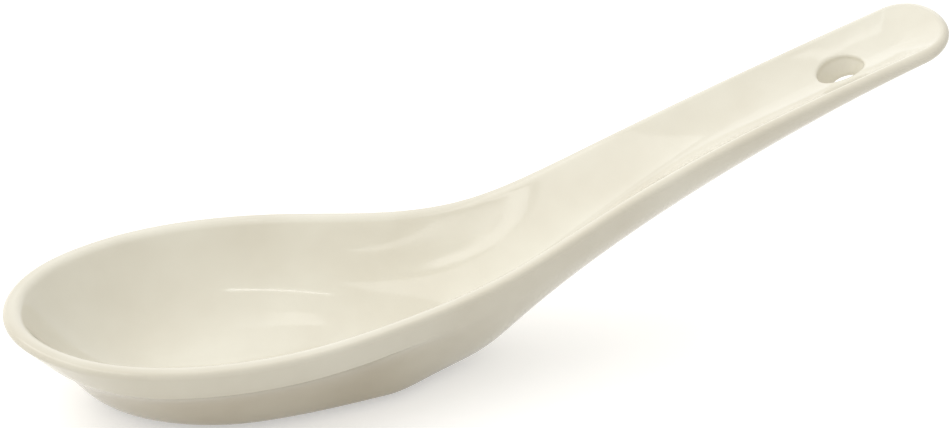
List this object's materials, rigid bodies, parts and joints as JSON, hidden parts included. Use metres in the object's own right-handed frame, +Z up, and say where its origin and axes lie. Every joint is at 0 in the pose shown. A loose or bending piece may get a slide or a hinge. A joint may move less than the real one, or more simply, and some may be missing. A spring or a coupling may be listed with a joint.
{
  "type": "soup spoon",
  "caption": "Deep flat-footed ceramic soup spoon with a rising trough handle and a hanging hole, for lifting and sipping broth.",
  "frame": {"origin": "bottom centre of the overall box, on the table under the spoon", "axes": "+X from the bowl tip to the handle end, +Y across the spoon, +Z up from the foot"},
  "size_m": [0.14, 0.0448, 0.0493],
  "materials": {
    "stoneware": "matt fired body under the glaze",
    "bare_foot": "matt unglazed foot",
    "glaze": "glossy ivory glaze"
  },
  "bodies": {
    "root": {"bowl": "stoneware", "handle": "stoneware", "foot": "bare_foot", "glaze_bowl": "glaze", "glaze_handle": "glaze"}
  },
  "joints": []
}
